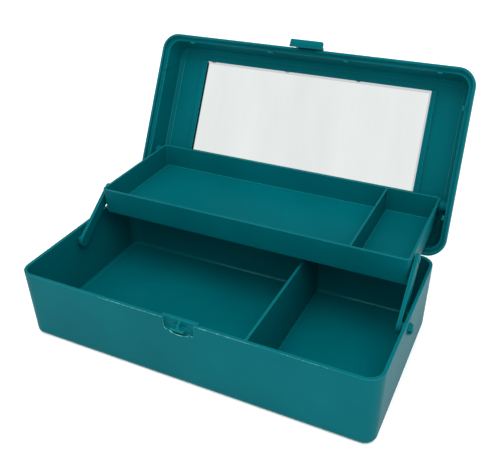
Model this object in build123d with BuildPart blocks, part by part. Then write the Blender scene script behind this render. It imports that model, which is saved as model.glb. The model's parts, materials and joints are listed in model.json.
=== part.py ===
from build123d import *
from math import cos, radians, sin, sqrt, tan
import os

# Plastic make-up case: a drafted bin, a domed lid with a mirror, and one lift-out
# tray on two side links.  Everything is drawn as it stands with the case shut
# (X to the right, Y to the rear, Z up, origin at the middle of the underside) and
# the moving pieces are then put where they stand with the lid leaned right back.

# ---- bin ----
case_width = 274.0  # over the rim, left to right
case_depth = 141.7  # over the rim, front to rear
bin_height = 55.7
bin_wall = 2.2
bin_floor = 3.5  # heavier than the walls, so that the open case doesn't tip back
bin_draft = 3.1
bin_corner = 11.5  # plan radius at the rim
bin_foot_radius = 3.8  # rounding of the bottom edge
bin_floor_bevel = 1.4  # where the floor meets the walls inside
divider_x = 45.7
divider_wall = 1.7

# ---- lid ----
lid_overlap = 3.6  # how far the skirt reaches down past the bin's rim
lid_seat_gap = 0.2  # between the bin's rim and the lid's shoulder
skirt_gap = 1.1  # between the bin's rim and the skirt
skirt_wall = 1.9
dome_inset = 3.8  # skirt face to dome wall
dome_wall = 1.5
dome_rise = 21.1  # dome above the shoulder's top
dome_draft = 8.5
dome_edge_radius = 6.0
skirt_bevel = 1.2
lid_angle = 117.4  # how far the lid leans back
tab_width = 3.6  # the small tabs that centre the lid inside the bin
tab_thick = 1.1
tab_drop = 2.0
tab_gap = 0.35
tab_front_near = 34.2
tab_front_far = 111.4
tab_side = 42.8

# ---- lid hinge ----
hinge_behind = 7.15  # axis behind the bin's rim
hinge_below = 9.7  # axis below the bin's rim
hinge_inset = 53.0  # middle of a hinge from the end of the rim
knuckle_radius = 3.6
hinge_pin_radius = 1.25
pin_fit = 0.05  # radial running clearance
lid_knuckle = 12.0
bin_knuckle = 6.0
knuckle_gap = 0.3
knuckle_root = 6.5  # how far the bin's lugs run down the wall below the axis

# ---- tray ----
tray_half_width = 128.2
tray_depth = 97.8
tray_height = 21.3
tray_wall = 1.7
tray_draft = 4.0
tray_corner = 3.4
tray_divider_x = 84.9
tray_divider_wall = 1.4
tray_divider_gap = 0.8  # tray's floor above the bin's divider

# ---- side links: a parallelogram with the lid's arms ----
link_length = 48.4
link_angle = 37.0  # above the horizontal, with the lid leaned back
link_foot_y = -3.7
link_half_width = 4.2
link_foot_radius = 4.8
link_thick = 2.6
link_gap = 0.7  # between the tray's side and the link
stud_radius = 3.2
stud_head_radius = 4.5
stud_head_length = 2.6
stud_slot = 2.2
stud_free = 0.25  # between the wall and the barbs
wall_slit = 0.6
tray_peg_radius = 2.4
tray_peg_head = 0.5
loop_gap = 0.15  # radial play of the tray's front pegs in the links
tray_pivot_drop = 5.5  # pegs below the tray's rim
tray_pivot_end = 4.3  # rear peg from the tray's rear edge
lid_boss_radius = 4.4
lid_boss_gap = 0.7

# ---- mirror ----
mirror_width = 209.2
mirror_top = 18.0  # from the skirt's front face to the mirror's front edge
mirror_height = 93.7
mirror_thick = 1.0
mirror_bevel_width = 2.3  # ground strip round the face
mirror_bevel_drop = 0.4
mirror_glue = 0.1
rail_width = 3.2
rail_lip = 0.8
rail_gap = 0.25
rail_height = 2.4

# ---- catch and latch ----
catch_width = 23.0
catch_drop = 9.4
catch_depth = 2.3
catch_scoop_width = 15.0
catch_scoop_drop = 2.2
catch_corner = 2.5
tee_rib = 1.8
tee_bar_width = 9.6
tee_bar_height = 1.4
tee_bar_drop = 7.0  # rim to the bar's underside
tee_proud = 2.2
notch_width = 16.4
notch_gap = 0.3  # over the catch's rib
latch_neck_width = 24.6
latch_lip_width = 29.4
latch_corner = 1.6
latch_tongue_width = 16.0
latch_thick = 1.7
latch_gap = 0.4  # skirt to latch
latch_drop = 6.4  # below the lid's rim
latch_lip = 1.5
latch_lip_height = 2.8
latch_axis_rise = 8.9  # above the lid's rim
latch_barrel_radius = 2.4
latch_pin_radius = 1.0
latch_ear = 2.8
latch_ear_gap = 0.3
latch_hook_height = 1.3
latch_hook_reach = 2.9
latch_hook_gap = 0.35
latch_rest = 10.0  # the latch stands off this far when it isn't pressed home

# ---- carrying handle ----
handle_span = 104.0  # between the middles of the arms
handle_reach = 30.0
handle_bend = 11.0
handle_bar_thick = 5.4
handle_bevel = 1.6
handle_eye_radius = 3.6
handle_axis_rise = 4.4
handle_peg_radius = 2.0
handle_lug = 6.0
handle_lug_gap = 0.3
handle_lug_foot = 15.0

# ---- sizes that follow ----
half_width = case_width / 2
half_depth = case_depth / 2
skirt_out = skirt_gap + skirt_wall
lid_half_width = half_width + skirt_out
lid_half_depth = half_depth + skirt_out
lid_rim = bin_height - lid_overlap
shoulder = bin_height + lid_seat_gap
skirt_top = shoulder + skirt_wall
lid_top = skirt_top + dome_rise
panel = lid_top - dome_wall
hinge_y = half_depth + hinge_behind
hinge_z = bin_height - hinge_below
hinge_x = half_width - hinge_inset
lean = radians(lid_angle)

foot_z = hinge_z
pivot_rise = link_length * sin(radians(link_angle))
pivot_run = link_length * cos(radians(link_angle))
shut_run = pivot_run * cos(lean) - pivot_rise * sin(lean)
shut_rise = pivot_run * sin(lean) + pivot_rise * cos(lean)
tray_pivot_z = hinge_z + shut_rise
tray_rear_pivot_y = hinge_y + shut_run
tray_front_pivot_y = link_foot_y + shut_run
tray_rim = tray_pivot_z + tray_pivot_drop
tray_rear = tray_rear_pivot_y + tray_pivot_end
tray_middle = tray_rear - tray_depth / 2
tray_floor = tray_rim - tray_height
divider_top = tray_floor - tray_divider_gap
tray_move_y = pivot_run - shut_run
tray_move_z = pivot_rise - shut_rise

link_inner = tray_half_width + link_gap
link_outer = link_inner + link_thick


def bin_inset(z):
    """How far the bin's outer face lies inside its rim at a height."""
    return (bin_height - z) * tan(radians(bin_draft))


def dome_inner(z):
    """Distance of the dome's inner face from the middle plane at a height."""
    return lid_half_width - dome_inset - dome_wall / cos(radians(dome_draft)) - (
        z - skirt_top) * tan(radians(dome_draft))


def shut_profile(x):
    """Plane of a side view at one X, drawn in Y and Z."""
    return Plane.YZ.offset(x)


def tub(width, depth, corner, top, height, draft, middle=0.0):
    """Drafted block that hangs down from a rounded rim."""
    with BuildPart() as form:
        with BuildSketch(Plane.XY.offset(top)):
            with Locations((0, middle)):
                RectangleRounded(width, depth, corner)
        extrude(amount=-height, taper=draft)
    return form.part


def foot_edges(form):
    """Edges round the underside of the piece being built."""
    return form.faces().sort_by(Axis.Z)[0].edges()


def rim_edges(form):
    """Edges round the top of the piece being built."""
    return form.faces().sort_by(Axis.Z)[-1].edges()


def dome(width, depth, corner, foot, height, draft):
    """Drafted block that stands up from a rounded foot."""
    with BuildPart() as form:
        with BuildSketch(Plane.XY.offset(foot)):
            RectangleRounded(width, depth, corner)
        extrude(amount=height, taper=draft)
    return form.part


# ================= bin =================
with BuildPart() as bin_block:
    add(tub(case_width, case_depth, bin_corner, bin_height, bin_height, bin_draft))
    fillet(foot_edges(bin_block), bin_foot_radius)

with BuildPart() as bin_hollow:
    add(tub(case_width - 2 * bin_wall, case_depth - 2 * bin_wall, bin_corner - bin_wall,
            bin_height, bin_height - bin_floor, bin_draft))
    chamfer(foot_edges(bin_hollow), bin_floor_bevel)

with BuildPart() as bin_divider:
    add(bin_block.part)
    with BuildSketch(Plane.XY.offset(bin_floor / 2)):
        with Locations((divider_x, 0)):
            Rectangle(divider_wall, case_depth)
    extrude(amount=divider_top - bin_floor / 2, mode=Mode.INTERSECT)

catch_face = half_depth - catch_depth
with BuildPart() as catch_wall:
    add(bin_block.part)
    with BuildSketch(Plane.XY.offset(bin_height)):
        with Locations((0, -half_depth)):
            Rectangle(catch_width + 2 * bin_wall, 2 * (catch_depth + bin_wall))
    extrude(amount=-catch_drop - catch_scoop_drop - bin_wall, mode=Mode.INTERSECT)

with BuildPart() as base_bin:
    add(bin_block.part)
    add(bin_hollow.part, mode=Mode.SUBTRACT)
    add(bin_divider.part)
    add(catch_wall.part)
    # recess for the catch, with a scoop for the fingertip under it
    catch_low = bin_height - catch_drop
    with BuildSketch(Plane.XZ.offset(catch_face)) as recess:
        with Locations((0, catch_low + catch_drop / 2 + bin_wall / 2)):
            Rectangle(catch_width, catch_drop + bin_wall)
        fillet(recess.vertices().group_by(Axis.Y)[0], catch_corner)
        with BuildLine():
            ThreePointArc((catch_scoop_width / 2, catch_low), (0, catch_low - catch_scoop_drop),
                          (-catch_scoop_width / 2, catch_low))
            Line((-catch_scoop_width / 2, catch_low), (catch_scoop_width / 2, catch_low))
        make_face()
    extrude(amount=2 * catch_depth, mode=Mode.SUBTRACT)
    # T-shaped catch: a ramp down from the rim with a bar across its foot
    tee_low = bin_height - tee_bar_drop
    tee_face = -half_depth - tee_proud
    with BuildSketch(shut_profile(0)):
        Polygon((-catch_face, bin_height), (-catch_face, tee_low), (tee_face, tee_low),
                (tee_face, tee_low + tee_bar_height), align=None)
    extrude(amount=tee_rib / 2, both=True)
    with BuildSketch(Plane.XZ.offset(catch_face)):
        with Locations((0, tee_low + tee_bar_height / 2)):
            Rectangle(tee_bar_width, tee_bar_height)
    extrude(amount=catch_depth + tee_proud)
    # hinge lugs on the rear wall
    for side in (-1, 1):
        for end in (-1, 1):
            middle = side * hinge_x + end * (lid_knuckle / 2 + knuckle_gap + bin_knuckle / 2)
            root = half_depth - bin_inset(hinge_z - knuckle_root) - bin_wall / 2
            with BuildSketch(shut_profile(middle)):
                with Locations((hinge_y, hinge_z)):
                    Circle(knuckle_radius)
                with Locations((root, hinge_z + (knuckle_radius - knuckle_root) / 2)):
                    Rectangle(bin_wall / 2, knuckle_radius + knuckle_root)
                make_hull()
            extrude(amount=bin_knuckle / 2, both=True)
    # pin bores
    with BuildSketch(shut_profile(-half_width)):
        with Locations((hinge_y, hinge_z)):
            Circle(hinge_pin_radius + pin_fit)
    extrude(amount=case_width, mode=Mode.SUBTRACT)
    # holes for the links' studs, each with its slit up to the rim
    with BuildSketch(shut_profile(-half_width)):
        with Locations((link_foot_y, foot_z)):
            Circle(stud_radius + pin_fit)
        with Locations((link_foot_y, (foot_z + bin_height + bin_wall) / 2)):
            Rectangle(wall_slit, bin_height + bin_wall - foot_z)
    extrude(amount=2 * bin_wall + bin_inset(0), mode=Mode.SUBTRACT)
    with BuildSketch(shut_profile(half_width)):
        with Locations((link_foot_y, foot_z)):
            Circle(stud_radius + pin_fit)
        with Locations((link_foot_y, (foot_z + bin_height + bin_wall) / 2)):
            Rectangle(wall_slit, bin_height + bin_wall - foot_z)
    extrude(amount=-2 * bin_wall - bin_inset(0), mode=Mode.SUBTRACT)

# ================= lid =================
dome_corner = bin_corner + skirt_out - dome_inset / 2
with BuildPart() as lid_dome:
    add(dome(2 * (lid_half_width - dome_inset), 2 * (lid_half_depth - dome_inset), dome_corner,
             skirt_top, dome_rise, dome_draft))
    fillet(rim_edges(lid_dome), dome_edge_radius)

with BuildPart() as lid_hollow:
    add(dome(2 * dome_inner(shoulder), 2 * (dome_inner(shoulder) - half_width + half_depth),
             dome_corner - dome_wall, shoulder, panel - shoulder, dome_draft))
    chamfer(rim_edges(lid_hollow), (2 - sqrt(2)) * (dome_edge_radius - dome_wall))

latch_y = -lid_half_depth - latch_gap - latch_thick + latch_barrel_radius
latch_z = lid_rim + latch_axis_rise
handle_z = lid_top + handle_axis_rise
mirror_front = -lid_half_depth + mirror_top
mirror_y = mirror_front + mirror_height / 2

with BuildPart() as lid_shell:
    with BuildSketch(Plane.XY.offset(lid_rim)):
        RectangleRounded(2 * lid_half_width, 2 * lid_half_depth, bin_corner + skirt_out)
    extrude(amount=skirt_top - lid_rim)
    chamfer(rim_edges(lid_shell), skirt_bevel)
    add(lid_dome.part)
    with BuildSketch(Plane.XY.offset(lid_rim)):
        RectangleRounded(2 * (lid_half_width - skirt_wall), 2 * (lid_half_depth - skirt_wall),
                         bin_corner + skirt_gap)
    extrude(amount=shoulder - lid_rim, mode=Mode.SUBTRACT)
    add(lid_hollow.part, mode=Mode.SUBTRACT)
    # notch in the front skirt over the catch
    with BuildSketch(Plane.XY.offset(lid_rim)):
        with Locations((0, -lid_half_depth)):
            Rectangle(notch_width, 2 * skirt_wall + skirt_gap)
    extrude(amount=lid_overlap + notch_gap, mode=Mode.SUBTRACT)
    # centring tabs inside the bin's walls
    tab_out_y = half_depth - bin_wall - bin_inset(bin_height - tab_drop) - tab_gap
    tab_out_x = half_width - bin_wall - bin_inset(bin_height - tab_drop) - tab_gap
    for low, thick, high in ((bin_height - tab_drop, tab_thick, skirt_top),
                             (shoulder, tab_thick + skirt_wall, skirt_top)):
        with BuildSketch(Plane.XY.offset(low)):
            for x in (-tab_front_far, -tab_front_near, tab_front_near, tab_front_far):
                with Locations((x, tab_thick - tab_out_y - thick / 2)):
                    Rectangle(tab_width, thick)
            for y in (-tab_side, tab_side):
                for side in (-1, 1):
                    with Locations((side * (tab_out_x - tab_thick + thick / 2), y)):
                        Rectangle(thick, tab_width)
        extrude(amount=high - low)
    # rails beside the mirror, each with a lip over the glass
    for side in (-1, 1):
        rail_in = mirror_width / 2 + rail_gap
        with BuildSketch(Plane.XZ.offset(-mirror_y)):
            with Locations((side * (rail_in + rail_width / 2), panel - rail_height / 2)):
                Rectangle(rail_width, rail_height)
            with Locations((side * (rail_in - rail_lip / 2),
                            panel - (rail_height + mirror_thick + mirror_glue + rail_gap) / 2)):
                Rectangle(rail_lip, rail_height - mirror_thick - mirror_glue - rail_gap)
        extrude(amount=mirror_height / 2, both=True)
    # bosses for the tray's rear pegs
    for side in (-1, 1):
        boss_in = tray_half_width + lid_boss_gap
        with BuildSketch(shut_profile(side * boss_in)):
            with Locations((tray_rear_pivot_y, tray_pivot_z)):
                Circle(lid_boss_radius)
        extrude(amount=side * (dome_inner(tray_pivot_z - lid_boss_radius) - boss_in))
        with BuildSketch(shut_profile(side * boss_in)):
            with Locations((tray_rear_pivot_y, tray_pivot_z)):
                Circle(tray_peg_radius + pin_fit)
        extrude(amount=side * (dome_inner(tray_pivot_z) - boss_in), mode=Mode.SUBTRACT)
    # hinge arms and knuckles
    for side in (-1, 1):
        with BuildSketch(shut_profile(side * hinge_x)):
            with Locations((hinge_y, hinge_z)):
                Circle(knuckle_radius)
            with Locations((lid_half_depth - skirt_wall / 2, (lid_rim + skirt_top) / 2)):
                Rectangle(skirt_wall / 2, skirt_top - lid_rim - 2 * skirt_bevel)
            make_hull()
        extrude(amount=lid_knuckle / 2, both=True)
    with BuildSketch(shut_profile(-half_width)):
        with Locations((hinge_y, hinge_z)):
            Circle(hinge_pin_radius + pin_fit)
    extrude(amount=case_width, mode=Mode.SUBTRACT)
    # ears for the latch
    for side in (-1, 1):
        ear = side * (latch_tongue_width / 2 + latch_ear_gap + latch_ear / 2)
        with BuildSketch(shut_profile(ear)):
            with Locations((latch_y, latch_z)):
                Circle(latch_barrel_radius)
            with Locations((-lid_half_depth + dome_inset + skirt_wall / 2, (skirt_top + latch_z) / 2)):
                Rectangle(skirt_wall / 2, latch_z - skirt_top + skirt_wall)
            make_hull()
        extrude(amount=latch_ear / 2, both=True)
    with BuildSketch(shut_profile(-latch_lip_width / 2)):
        with Locations((latch_y, latch_z)):
            Circle(latch_pin_radius + pin_fit)
    extrude(amount=latch_lip_width, mode=Mode.SUBTRACT)
    # lugs for the handle
    for side in (-1, 1):
        lug = side * (handle_span / 2 - handle_bar_thick / 2 - handle_lug_gap - handle_lug / 2)
        with BuildSketch(shut_profile(lug)):
            with Locations((0, handle_z)):
                Circle(handle_eye_radius)
            with Locations((0, lid_top - dome_wall / 4)):
                Rectangle(handle_lug_foot, dome_wall / 2)
            make_hull()
        extrude(amount=handle_lug / 2, both=True)
        with BuildSketch(shut_profile(lug)):
            with Locations((0, handle_z)):
                Circle(handle_peg_radius + pin_fit)
        extrude(amount=handle_lug, both=True, mode=Mode.SUBTRACT)

with BuildPart() as mirror:
    with BuildSketch(Plane.XY.offset(panel - mirror_glue - mirror_thick)):
        with Locations((0, mirror_y)):
            Rectangle(mirror_width, mirror_height)
    extrude(amount=mirror_thick)
    face = mirror.faces().sort_by(Axis.Z)[0]
    chamfer(face.edges(), mirror_bevel_width, mirror_bevel_drop, reference=face)

# ================= tray =================
with BuildPart() as tray_block:
    add(tub(2 * tray_half_width, tray_depth, tray_corner, tray_rim, tray_height, tray_draft,
            tray_middle))

with BuildPart() as tray_hollow:
    add(tub(2 * (tray_half_width - tray_wall), tray_depth - 2 * tray_wall,
            tray_corner - tray_wall / 2, tray_rim, tray_height - tray_wall, tray_draft,
            tray_middle))

with BuildPart() as tray_divider:
    add(tray_block.part)
    with BuildSketch(Plane.XY.offset(tray_floor + tray_wall / 2)):
        with Locations((tray_divider_x, tray_middle)):
            Rectangle(tray_divider_wall, tray_depth - tray_wall)
    extrude(amount=tray_height - tray_wall / 2, mode=Mode.INTERSECT)

with BuildPart() as tray:
    add(tray_block.part)
    add(tray_hollow.part, mode=Mode.SUBTRACT)
    add(tray_divider.part)
    tray_side = tray_half_width - tray_wall / 2 - tray_pivot_drop * tan(radians(tray_draft))
    for side in (-1, 1):
        # front peg, with the link on it
        with BuildSketch(shut_profile(side * tray_side)):
            with Locations((tray_front_pivot_y, tray_pivot_z)):
                Circle(tray_peg_radius - loop_gap)
        extrude(amount=side * (link_outer + tray_peg_head - tray_side))
        # rear peg, in the lid's boss
        with BuildSketch(shut_profile(side * tray_side)):
            with Locations((tray_rear_pivot_y, tray_pivot_z)):
                Circle(tray_peg_radius)
        extrude(amount=side * (dome_inner(tray_pivot_z) - lid_boss_gap / 2 - tray_side))


# ================= links =================
def link(side):
    """One side link, drawn as it stands with the lid leaned back."""
    head_at = half_width - bin_inset(foot_z) + stud_free
    slope = radians(link_angle)
    with BuildPart() as arm:
        with BuildSketch(shut_profile(side * link_inner)):
            with Locations((link_foot_y, foot_z)):
                Circle(link_foot_radius)
            with Locations((link_foot_y + link_length * cos(slope), foot_z + link_length * sin(slope))):
                Circle(link_half_width)
            make_hull()
        extrude(amount=side * link_thick)
        with BuildSketch(shut_profile(side * link_inner)):
            with Locations((link_foot_y + link_length * cos(slope), foot_z + link_length * sin(slope))):
                Circle(tray_peg_radius)
        extrude(amount=side * link_thick, mode=Mode.SUBTRACT)
        # stud through the bin's wall, with a barbed head, split in two prongs
        with BuildSketch(shut_profile(side * link_outer)):
            with Locations((link_foot_y, foot_z)):
                Circle(stud_radius)
        extrude(amount=side * (head_at - link_outer))
        with BuildSketch(shut_profile(side * head_at)):
            with Locations((link_foot_y, foot_z)):
                Circle(stud_head_radius)
        extrude(amount=side * stud_head_length, taper=25)
        with BuildSketch(shut_profile(side * (link_outer + link_thick / 2))):
            with Locations((link_foot_y, foot_z)):
                Rectangle(3 * stud_head_radius, stud_slot)
        extrude(amount=side * (head_at + stud_head_length - link_outer), mode=Mode.SUBTRACT)
    return arm


link_left = link(-1)
link_right = link(1)

# ================= hinge pins =================
pin_half = lid_knuckle / 2 + knuckle_gap + bin_knuckle
with BuildPart() as hinge_pin_left:
    with BuildSketch(shut_profile(-hinge_x)):
        with Locations((hinge_y, hinge_z)):
            Circle(hinge_pin_radius)
    extrude(amount=pin_half, both=True)

with BuildPart() as hinge_pin_right:
    with BuildSketch(shut_profile(hinge_x)):
        with Locations((hinge_y, hinge_z)):
            Circle(hinge_pin_radius)
    extrude(amount=pin_half, both=True)

# ================= latch =================
latch_back = -lid_half_depth - latch_gap
latch_face = latch_back - latch_thick
latch_foot = lid_rim - latch_drop
hook_top = tee_low - latch_hook_gap
hook_tip = latch_back + latch_hook_reach
with BuildPart() as latch:
    # side profile: plate, hook with its lead-in, flared fingertip lip
    with BuildSketch(shut_profile(0)):
        with BuildLine():
            Polyline((latch_back, latch_z), (latch_back, hook_top), (hook_tip, hook_top),
                     (hook_tip, hook_top - latch_hook_height), (latch_back, latch_foot),
                     (latch_face - latch_lip, latch_foot))
            TangentArc((latch_face - latch_lip, latch_foot), (latch_face, latch_foot + latch_lip_height),
                       tangent=(0.4, 1))
            Polyline((latch_face, latch_foot + latch_lip_height), (latch_face, latch_z),
                     (latch_back, latch_z))
        make_face()
    extrude(amount=latch_lip_width / 2, both=True)
    # front view: lip with rounded ends, waist, shoulders and a tongue between the ears
    with BuildSketch(Plane.XZ.offset(-latch_back)) as front:
        shoulder_top = skirt_top - latch_gap
        with Locations((0, (latch_foot + latch_z) / 2)):
            Rectangle(latch_tongue_width, latch_z - latch_foot)
        with Locations((0, (latch_foot + shoulder_top) / 2)):
            Rectangle(latch_neck_width, shoulder_top - latch_foot)
        with Locations((0, latch_foot + latch_lip_height / 2)):
            Rectangle(latch_lip_width, latch_lip_height)
        fillet(front.vertices().group_by(Axis.Y)[0], latch_corner)
    extrude(amount=-2 * (latch_hook_reach + latch_lip), both=True, mode=Mode.INTERSECT)
    with BuildSketch(shut_profile(0)):
        with Locations((latch_y, latch_z)):
            Circle(latch_barrel_radius)
    extrude(amount=latch_tongue_width / 2, both=True)
    with BuildSketch(shut_profile(0)):
        with Locations((latch_y, latch_z)):
            Circle(latch_pin_radius + pin_fit)
    extrude(amount=latch_lip_width, both=True, mode=Mode.SUBTRACT)

with BuildPart() as latch_pin:
    with BuildSketch(shut_profile(0)):
        with Locations((latch_y, latch_z)):
            Circle(latch_pin_radius)
    extrude(amount=latch_tongue_width / 2 + latch_ear_gap + latch_ear, both=True)

# ================= handle =================
with BuildPart() as handle:
    arm_x = handle_span / 2
    grip_y = handle_reach
    with BuildLine(Plane.XY.offset(handle_z)) as bail:
        FilletPolyline((-arm_x, 0), (-arm_x, grip_y), (arm_x, grip_y), (arm_x, 0), radius=handle_bend)
    with BuildSketch(Plane(origin=(-arm_x, 0, handle_z), x_dir=(1, 0, 0), z_dir=(0, 1, 0))):
        section = Rectangle(handle_bar_thick, handle_bar_thick)
        chamfer(section.vertices(), handle_bevel)
    sweep()
    for side in (-1, 1):
        with BuildSketch(shut_profile(side * arm_x)):
            with Locations((0, handle_z)):
                Circle(handle_bar_thick / 2)
        extrude(amount=handle_bar_thick / 2 - handle_bevel, both=True)
        with BuildSketch(shut_profile(side * arm_x)):
            with Locations((0, handle_z)):
                Circle(handle_peg_radius)
        extrude(amount=-side * (handle_bar_thick / 2 + handle_lug_gap + handle_lug))

# ================= stored pose: lid leaned back =================
swing = Pos(0, hinge_y, hinge_z) * Rot(-lid_angle, 0, 0) * Pos(0, -hinge_y, -hinge_z)
stand_off = Pos(0, latch_y, latch_z) * Rot(-latch_rest, 0, 0) * Pos(0, -latch_y, -latch_z)
hang = Pos(0, 0, handle_z) * Rot(lid_angle - 90, 0, 0) * Pos(0, 0, -handle_z)
lid_shell.part.move(swing)
mirror.part.move(swing)
latch_pin.part.move(swing)
latch.part.move(swing * stand_off)
handle.part.move(swing * hang)
tray.part.move(Pos(0, tray_move_y, tray_move_z))

base_bin.part.label = "base_bin"
lid_shell.part.label = "lid_shell"
mirror.part.label = "mirror"
tray.part.label = "tray"
link_left.part.label = "link_left"
link_right.part.label = "link_right"
hinge_pin_left.part.label = "hinge_pin_left"
hinge_pin_right.part.label = "hinge_pin_right"
latch.part.label = "latch"
latch_pin.part.label = "latch_pin"
handle.part.label = "handle"

os.makedirs("parts", exist_ok=True)
export_step(base_bin.part, "parts/base_bin.step")
export_step(lid_shell.part, "parts/lid_shell.step")
export_step(mirror.part, "parts/mirror.step")
export_step(tray.part, "parts/tray.step")
export_step(link_left.part, "parts/link_left.step")
export_step(link_right.part, "parts/link_right.step")
export_step(hinge_pin_left.part, "parts/hinge_pin_left.step")
export_step(hinge_pin_right.part, "parts/hinge_pin_right.step")
export_step(latch.part, "parts/latch.step")
export_step(latch_pin.part, "parts/latch_pin.step")
export_step(handle.part, "parts/handle.step")
print("hinge", hinge_y, hinge_z, "foot", link_foot_y, foot_z)
print("tray rear pivot now", hinge_y + pivot_run, hinge_z + pivot_rise)
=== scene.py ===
import bpy
import json
import random
from math import cos, pi, radians, sin, tan
from mathutils import Matrix, Vector


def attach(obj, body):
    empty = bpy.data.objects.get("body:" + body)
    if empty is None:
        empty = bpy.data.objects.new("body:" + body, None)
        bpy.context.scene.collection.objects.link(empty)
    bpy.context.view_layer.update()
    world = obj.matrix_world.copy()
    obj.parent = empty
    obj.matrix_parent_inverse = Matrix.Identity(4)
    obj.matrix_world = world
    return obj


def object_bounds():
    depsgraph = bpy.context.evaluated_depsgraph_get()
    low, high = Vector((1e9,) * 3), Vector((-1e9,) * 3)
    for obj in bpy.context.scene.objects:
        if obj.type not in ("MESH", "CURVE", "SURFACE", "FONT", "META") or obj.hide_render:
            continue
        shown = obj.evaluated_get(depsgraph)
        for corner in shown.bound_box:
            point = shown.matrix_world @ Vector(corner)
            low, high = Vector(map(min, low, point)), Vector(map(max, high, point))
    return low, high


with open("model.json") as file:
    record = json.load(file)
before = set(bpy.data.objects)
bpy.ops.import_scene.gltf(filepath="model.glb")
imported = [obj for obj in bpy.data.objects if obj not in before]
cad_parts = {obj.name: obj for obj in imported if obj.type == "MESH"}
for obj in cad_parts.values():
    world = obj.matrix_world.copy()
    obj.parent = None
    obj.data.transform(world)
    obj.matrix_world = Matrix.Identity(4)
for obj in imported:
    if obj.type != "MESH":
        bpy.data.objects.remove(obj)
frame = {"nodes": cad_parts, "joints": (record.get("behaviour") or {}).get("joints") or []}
nodes = frame["nodes"]
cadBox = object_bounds()
bpy.context.scene.view_settings.view_transform = "Standard"  # hex colours come out as written
mmPerMetre = 1000  # camera and studio are in metres, finishes and seams in millimetres
lidHinge = next(joint for joint in frame["joints"] if joint["name"] == "lid_hinge")
leanBack = radians(lidHinge["range_deg"][1])  # the lid's turn from shut to the photograph's pose
print("frame loaded:", len(nodes), "nodes")


def deselectAll():
    if bpy.context.mode != "OBJECT":
        bpy.ops.object.mode_set(mode="OBJECT")
    bpy.ops.object.select_all(action="DESELECT")
    bpy.context.view_layer.objects.active = None


def toLinear(hexColour):
    # sRGB hex to the linear values that the shader wants
    values = [int(hexColour[i:i + 2], 16) / 255 for i in (1, 3, 5)]
    return [v / 12.92 if v <= 0.04045 else ((v + 0.055) / 1.055) ** 2.4 for v in values] + [1.0]


def addNode(tree, kind, settings=None, inputs=None):
    node = tree.nodes.new(kind)
    for key, value in (settings or {}).items():
        setattr(node, key, value)
    for key, value in (inputs or {}).items():
        if isinstance(value, bpy.types.NodeSocket):
            tree.links.new(value, node.inputs[key])
        else:
            node.inputs[key].default_value = value
    return node


def newMaterial(name, inputs):
    material = bpy.data.materials.new(name)
    material.use_nodes = True
    tree = material.node_tree
    tree.nodes.clear()
    shader = addNode(tree, "ShaderNodeBsdfPrincipled", inputs=inputs)
    addNode(tree, "ShaderNodeOutputMaterial", inputs={"Surface": shader.outputs["BSDF"]})
    return material, tree, shader


# camera: the angle that the photograph was taken from
cameraView = {
    "place": (0.2056, -0.3722, 0.3446),
    "azimuth": 25.98,
    "elevation": 25.49,
    "roll": -1.02,
    "lensMm": 49.6,
    "sensorMm": 36,
    "shiftX": -0.0109,
    "shiftY": -0.1413,
    "clipStart": 0.01,
}
turn = (Matrix.Rotation(radians(cameraView["azimuth"]), 3, "Z")
        @ Matrix.Rotation(radians(90 - cameraView["elevation"]), 3, "X")
        @ Matrix.Rotation(radians(cameraView["roll"]), 3, "Z"))
deselectAll()
bpy.ops.object.camera_add(location=cameraView["place"], rotation=turn.to_euler())
camera = bpy.context.object
camera.name = "photoCamera"
camera.data.sensor_width = cameraView["sensorMm"]
camera.data.lens = cameraView["lensMm"]
camera.data.shift_x = cameraView["shiftX"]
camera.data.shift_y = cameraView["shiftY"]
camera.data.clip_start = cameraView["clipStart"]
camera.data.dof.use_dof = False
bpy.context.scene.camera = camera
print("camera placed")

# studio: pale paper, an even white tent, and one soft box above and to the right
studio = {
    "floorSize": 12.0,
    "floorColour": "#FDFDFD",
    "floorRoughness": 0.9,
    "floorGlow": 0.12,  # paper lit from below, as a product table is, for a faint shadow
    "skyColour": "#FFFFFF",
    "skyStrength": 0.92,
    "boxPlace": (0.35, -0.6, 1.7),
    "boxAim": (0, 0.02, 0.05),
    "boxSize": 1.8,
    "boxPower": 32.0,
}
deselectAll()
bpy.ops.mesh.primitive_plane_add(size=studio["floorSize"], location=(0, 0, cadBox[0][2]))
floor = bpy.context.object
floor.name = "studioFloor"
floorMatte = newMaterial("paleStudioPaper", {
    "Base Color": toLinear(studio["floorColour"]),
    "Roughness": studio["floorRoughness"],
    "Emission Color": toLinear(studio["floorColour"]),
    "Emission Strength": studio["floorGlow"],
})[0]
floor.data.materials.append(floorMatte)

world = bpy.data.worlds.new("softStudio")
world.use_nodes = True
bpy.context.scene.world = world
sky = world.node_tree.nodes["Background"]
sky.inputs["Color"].default_value = toLinear(studio["skyColour"])
sky.inputs["Strength"].default_value = studio["skyStrength"]

deselectAll()
aim = (Vector(studio["boxAim"]) - Vector(studio["boxPlace"])).to_track_quat("-Z", "Y")
bpy.ops.object.light_add(type="AREA", location=studio["boxPlace"], rotation=aim.to_euler())
softBox = bpy.context.object
softBox.name = "topSoftBox"
softBox.data.shape = "SQUARE"
softBox.data.size = studio["boxSize"]
softBox.data.energy = studio["boxPower"]
softBox.visible_glossy = False  # so that the mirror shows the plain tent, not a lamp's edge
print("studio built")

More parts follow.
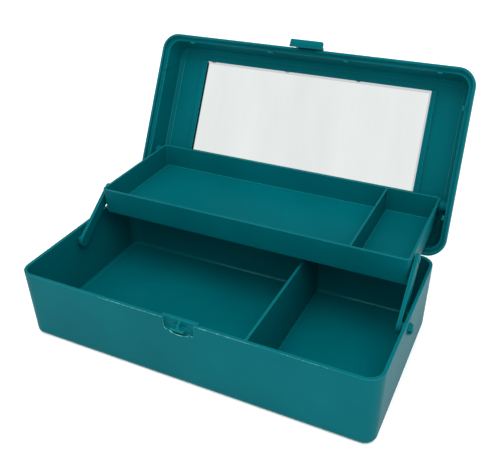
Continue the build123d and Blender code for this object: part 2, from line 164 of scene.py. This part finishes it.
mixSocket = {"share": 0, "first": 6, "second": 7, "result": 2}  # a Mix node's colour sockets
plastic = {
    "colour": "#00535A",
    "paleColour": "#005C64",
    # painted highlight: a paler teal laid on rounded edges, where they would catch the light
    "edgeHighlightColour": "#1F8488",
    "edgeHighlightShare": 0.8,
    "edgeHighlightBend": (0.99, 0.86),  # bend cosines where the painted edge highlight starts and is full
    "edgeMm": 0.9,             # rounding that a moulding's edges have
    "edgeSamples": 6,
    "roughness": 0.42,
    "ior": 1.49,
    "specularLevel": 0.025,    # matched to the photograph, which shows hardly any gloss
    "flowMm": 70.0,            # slow drift of shade along the moulding
    "flowSpan": (0.3, 0.75),
    "flowDetail": 3.0,
    "grainMm": 0.6,            # spark-eroded mould grain, drawn coarse so that it shows
    "grainHeightMm": 0.015,
    "grainStrength": 0.35,
}


def mouldedPolypropylene(name, settings):
    # injection-moulded polypropylene: even satin teal, rounded edges made paler as a painted
    # highlight, a fine eroded grain and a faint drift of shade where the melt flowed
    material, tree, shader = newMaterial(name, {
        "Roughness": settings["roughness"],
        "IOR": settings["ior"],
        "Specular IOR Level": settings["specularLevel"],
    })
    place = addNode(tree, "ShaderNodeTexCoord")
    flow = addNode(tree, "ShaderNodeTexNoise", inputs={
        "Vector": place.outputs["Object"],
        "Scale": mmPerMetre / settings["flowMm"],
        "Detail": settings["flowDetail"],
    })
    shade = addNode(tree, "ShaderNodeValToRGB", inputs={"Fac": flow.outputs["Fac"]})
    stops = zip(shade.color_ramp.elements, settings["flowSpan"], ("colour", "paleColour"))
    for stop, at, colour in stops:
        stop.position = at
        stop.color = toLinear(settings[colour])
    rounded = addNode(tree, "ShaderNodeBevel", {"samples": settings["edgeSamples"]}, {
        "Radius": settings["edgeMm"] / mmPerMetre,
    })
    surface = addNode(tree, "ShaderNodeNewGeometry")
    bend = addNode(tree, "ShaderNodeVectorMath", {"operation": "DOT_PRODUCT"}, {
        0: rounded.outputs["Normal"],
        1: surface.outputs["Normal"],
    })
    # painted highlight: the paler colour comes in where the rounded normal turns off the face
    edge = addNode(tree, "ShaderNodeMapRange", inputs={
        "Value": bend.outputs["Value"],
        "From Min": settings["edgeHighlightBend"][0],
        "From Max": settings["edgeHighlightBend"][1],
        "To Max": settings["edgeHighlightShare"],
    })
    toned = addNode(tree, "ShaderNodeMix", {"data_type": "RGBA"}, {
        mixSocket["share"]: edge.outputs["Result"],
        mixSocket["first"]: shade.outputs["Color"],
        mixSocket["second"]: toLinear(settings["edgeHighlightColour"]),
    })
    grain = addNode(tree, "ShaderNodeTexNoise", inputs={
        "Vector": place.outputs["Object"],
        "Scale": mmPerMetre / settings["grainMm"],
    })
    bump = addNode(tree, "ShaderNodeBump", inputs={
        "Height": grain.outputs["Fac"],
        "Strength": settings["grainStrength"],
        "Distance": settings["grainHeightMm"] / mmPerMetre,
        "Normal": rounded.outputs["Normal"],
    })
    tree.links.new(toned.outputs[mixSocket["result"]], shader.inputs["Base Color"])
    tree.links.new(bump.outputs["Normal"], shader.inputs["Normal"])
    return material


tealPlastic = mouldedPolypropylene("tealMouldedPolypropylene", plastic)

glass = {
    "silver": "#F7FAF8",
    "streakGrey": "#E6EBEA",
    "groundEdgeReflection": "#D5D9DC",           # the strip that is ground round the face, toned grey as a painted reflection
    "groundSlope": (0.998, 0.99),      # cosine of the turn off the face where it begins and is full
    "roughness": 0.03,
    "streakRoughness": 0.12,
    "hazeMm": 26.0,
    "hazeDetail": 4.0,
    "hazeStretch": (1.0, 0.25, 0.25),  # strokes that run up the face
}


def silveredGlass(name, settings):
    # silvered float glass: a clean bright reflection with faint grey, rougher streaks up the face
    material, tree, shader = newMaterial(name, {"Metallic": 1.0})
    place = addNode(tree, "ShaderNodeTexCoord")
    wipe = addNode(tree, "ShaderNodeMapping", inputs={
        "Vector": place.outputs["Object"],
        "Scale": settings["hazeStretch"],
    })
    haze = addNode(tree, "ShaderNodeTexNoise", inputs={
        "Vector": wipe.outputs["Vector"],
        "Scale": mmPerMetre / settings["hazeMm"],
        "Detail": settings["hazeDetail"],
    })
    spread = addNode(tree, "ShaderNodeMapRange", inputs={
        "Value": haze.outputs["Fac"],
        "To Min": settings["roughness"],
        "To Max": settings["streakRoughness"],
    })
    shade = addNode(tree, "ShaderNodeMix", {"data_type": "RGBA"}, {
        mixSocket["share"]: haze.outputs["Fac"],
        mixSocket["first"]: toLinear(settings["silver"]),
        mixSocket["second"]: toLinear(settings["streakGrey"]),
    })
    slope = addNode(tree, "ShaderNodeVectorMath", {"operation": "DOT_PRODUCT"}, {
        0: place.outputs["Normal"],
        1: (0.0, -sin(leanBack), -cos(leanBack)),  # the way that the face looks
    })
    ground = addNode(tree, "ShaderNodeMapRange", inputs={
        "Value": slope.outputs["Value"],
        "From Min": settings["groundSlope"][0],
        "From Max": settings["groundSlope"][1],
    })
    # painted reflection: the ground strip round the face is toned grey
    toned = addNode(tree, "ShaderNodeMix", {"data_type": "RGBA"}, {
        mixSocket["share"]: ground.outputs["Result"],
        mixSocket["first"]: shade.outputs[mixSocket["result"]],
        mixSocket["second"]: toLinear(settings["groundEdgeReflection"]),
    })
    tree.links.new(spread.outputs["Result"], shader.inputs["Roughness"])
    tree.links.new(toned.outputs[mixSocket["result"]], shader.inputs["Base Color"])
    return material


mirrorGlass = silveredGlass("silveredMirrorGlass", glass)

steel = {
    "colour": "#B9BCBE",
    "roughness": (0.256, 0.416),
    "lineLengthMm": 25.0,
    "lineWidthMm": 0.25,
}


def drawnSteel(name, settings):
    # drawn steel wire: grey, with fine lines along the pin
    material, tree, shader = newMaterial(name, {
        "Base Color": toLinear(settings["colour"]),
        "Metallic": 1.0,
    })
    place = addNode(tree, "ShaderNodeTexCoord")
    across = mmPerMetre / settings["lineWidthMm"]
    drawn = addNode(tree, "ShaderNodeMapping", inputs={
        "Vector": place.outputs["Object"],
        "Scale": (mmPerMetre / settings["lineLengthMm"], across, across),
    })
    lines = addNode(tree, "ShaderNodeTexNoise", inputs={
        "Vector": drawn.outputs["Vector"],
        "Scale": 1.0,
    })
    spread = addNode(tree, "ShaderNodeMapRange", inputs={
        "Value": lines.outputs["Fac"],
        "To Min": settings["roughness"][0],
        "To Max": settings["roughness"][1],
    })
    tree.links.new(spread.outputs["Result"], shader.inputs["Roughness"])
    return material


pinSteel = drawnSteel("drawnSteelWire", steel)

dressing = (
    (tealPlastic, ("base_bin", "lid_shell", "tray", "link_left", "link_right", "latch", "handle")),
    (mirrorGlass, ("mirror",)),
    (pinSteel, ("hinge_pin_left", "hinge_pin_right", "latch_pin")),
)
for material, nodeNames in dressing:
    for nodeName in nodeNames:
        nodes[nodeName].data.materials.clear()
        nodes[nodeName].data.materials.append(material)
print("materials on")

seamForm = {
    "bevelSteps": 1,
    "uneven": (0.35, 1.5),  # thinnest and thickest of a flash, as shares of its radius
    "growth": 3,            # a tapered bead has its full radius after a third of its length
    "seed": 7,
}
chance = random.Random(seamForm["seed"])


def seam(name, points, radius, material, body, wobble=0.0, taper=False):
    # thin round bead along a path in millimetres, unevenly thick where wobble isn't nought
    deselectAll()
    curve = bpy.data.curves.new(name, "CURVE")
    curve.dimensions = "3D"
    curve.bevel_depth = 1 / mmPerMetre  # so that a point's radius is in millimetres
    curve.bevel_resolution = seamForm["bevelSteps"]
    spline = curve.splines.new("POLY")
    spline.points.add(len(points) - 1)
    for i, point in enumerate(points):
        shake = [chance.uniform(-wobble, wobble) for axis in "xyz"]
        shake[1] = 0.0  # flash wanders along the wall, not off it
        spline.points[i].co = [(at + off) / mmPerMetre for at, off in zip(point, shake)] + [1]
        share = min(1.0, seamForm["growth"] * i / len(points)) if taper else 1.0
        thickness = chance.uniform(*seamForm["uneven"]) if wobble else 1.0
        spline.points[i].radius = radius * share * thickness
    path = bpy.data.objects.new(name, curve)
    bpy.context.collection.objects.link(path)
    path.select_set(True)
    bpy.context.view_layer.objects.active = path
    bpy.ops.object.convert(target="MESH")
    piece = bpy.context.object
    bpy.ops.object.shade_smooth()
    piece.data.materials.append(material)
    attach(piece, body)


def evenPoints(start, end, step):
    start, end = Vector(start), Vector(end)
    count = max(1, int((end - start).length / step))
    return [tuple(start.lerp(end, i / count)) for i in range(count + 1)]


frontFace = {
    "rimHeight": 55.7,
    "rimHalfDepth": 70.85,
    "draft": 3.1,
    "flashProud": 0.12,  # how far the middle of the flash stands off the wall
}


def frontWall(x, z):
    # a place just off the outside of the bin's drafted front wall
    slant = (frontFace["rimHeight"] - z) * tan(radians(frontFace["draft"]))
    return x, -frontFace["flashProud"] - frontFace["rimHalfDepth"] + slant, z


# uneven flash where the mould's halves met, round the recess for the catch and along the rim,
# coloured pale as a painted highlight where these edges catch the light
flashAndHighlightPlastic = mouldedPolypropylene("mouldFlashPaintedHighlight", {
    **plastic, "colour": "#5DB8B4", "paleColour": "#9BD8D2", "flowMm": 4.0, "roughness": 0.3})
catchFlash = {
    "halfWidth": 11.5,
    "drop": 9.4,         # depth of the recess below the rim
    "corner": 2.5,
    "cornerSteps": 4,
    "belowRim": 1.2,     # where the left side's flash begins
    "shortOfSide": 0.8,  # where the right shoulder's ends
    "scoopHalfWidth": 7.5,
    "scoopDrop": 2.2,
    "scoopSteps": 16,
    "step": 0.7,
    "radius": 0.2,
    "scoopRadius": 0.26,
    "wobble": 0.12,
}
low = frontFace["rimHeight"] - catchFlash["drop"]
half, corner = catchFlash["halfWidth"], catchFlash["corner"]
scoopHalf, scoopDrop = catchFlash["scoopHalfWidth"], catchFlash["scoopDrop"]
cornerSteps, scoopSteps = catchFlash["cornerSteps"], catchFlash["scoopSteps"]
leftSide = evenPoints(frontWall(-half, frontFace["rimHeight"] - catchFlash["belowRim"]),
                      frontWall(-half, low + corner), catchFlash["step"])
for t in [pi / 2 * i / cornerSteps for i in range(1, cornerSteps + 1)]:
    leftSide.append(frontWall(-half + corner * (1 - cos(t)), low + corner * (1 - sin(t))))
scoop = [frontWall(-scoopHalf * cos(t), low - scoopDrop * sin(t))
         for t in [pi * i / scoopSteps for i in range(scoopSteps + 1)]]
rightShoulder = evenPoints(frontWall(scoopHalf, low),
                           frontWall(half - catchFlash["shortOfSide"], low), catchFlash["step"])
for name, points, radius in (("catchFlashHighlightLeft", leftSide, catchFlash["radius"]),
                             ("catchFlashHighlightScoop", scoop, catchFlash["scoopRadius"]),
                             ("catchFlashHighlightRight", rightShoulder, catchFlash["radius"])):
    seam(name, points, radius, flashAndHighlightPlastic, "bin", catchFlash["wobble"])

rimFlash = {
    "rimFlashHighlightLeft": (-64.0, -13.0),
    "rimFlashHighlightMiddle": (13.0, 58.0),
    "rimFlashHighlightRight": (74.0, 104.0),
    "belowRim": 0.15,
    "step": 1.1,
    "radius": 0.16,
    "wobble": 0.06,
}
rimLine = frontFace["rimHeight"] - rimFlash["belowRim"]
for name in ("rimFlashHighlightLeft", "rimFlashHighlightMiddle", "rimFlashHighlightRight"):
    left, right = rimFlash[name]
    seam(name, evenPoints(frontWall(left, rimLine), frontWall(right, rimLine), rimFlash["step"]),
         rimFlash["radius"], flashAndHighlightPlastic, "bin", rimFlash["wobble"])

# fine pale beads, a painted highlight where small rounded corners catch the light
highlightBeadPlastic = mouldedPolypropylene("paintedHighlightCornerBead", {
    **plastic, "colour": "#4F9C9E", "paleColour": "#62A9AA", "roughness": 0.25})
floorHighlightBeads = {
    "floorBeadLeft": (-75.0, 43.8),
    "floorBeadRight": (49.0, 124.0),
    "y": 65.15,  # middle of the bevel between the bin's floor and rear wall
    "z": 4.25,
    "step": 6.0,
    "radius": 0.3,
}
for name in ("floorBeadLeft", "floorBeadRight"):
    left, right = floorHighlightBeads[name]
    ends = [(x, floorHighlightBeads["y"], floorHighlightBeads["z"]) for x in (left, right)]
    seam(name, evenPoints(*ends, floorHighlightBeads["step"]), floorHighlightBeads["radius"], highlightBeadPlastic, "bin",
         taper=True)

lidHighlightBeads = {
    "panelBead": (129.1, 77.4),  # x and z in the shut lid, where its panel ends
    "wallBead": (132.1, 74.8),   # where the dome's side wall begins
    "span": (-54.0, 58.0),
    "step": 8.0,
    "radius": 0.15,
}


def leaned(x, y, z):
    # a place in the shut lid, taken to where it is with the lid leaned back
    hingeY, hingeZ = [value * mmPerMetre for value in lidHinge["pos_m"][1:]]
    outY, outZ = y - hingeY, z - hingeZ
    return (x, hingeY + outY * cos(leanBack) + outZ * sin(leanBack),
            hingeZ - outY * sin(leanBack) + outZ * cos(leanBack))


for side, sideName in ((-1, "Left"), (1, "Right")):
    for name in ("panelBead", "wallBead"):
        across, up = lidHighlightBeads[name]
        ends = [leaned(side * across, y, up) for y in lidHighlightBeads["span"]]
        seam(name + sideName, evenPoints(*ends, lidHighlightBeads["step"]), lidHighlightBeads["radius"],
             highlightBeadPlastic, "lid")
print("seam marks on")

deselectAll()
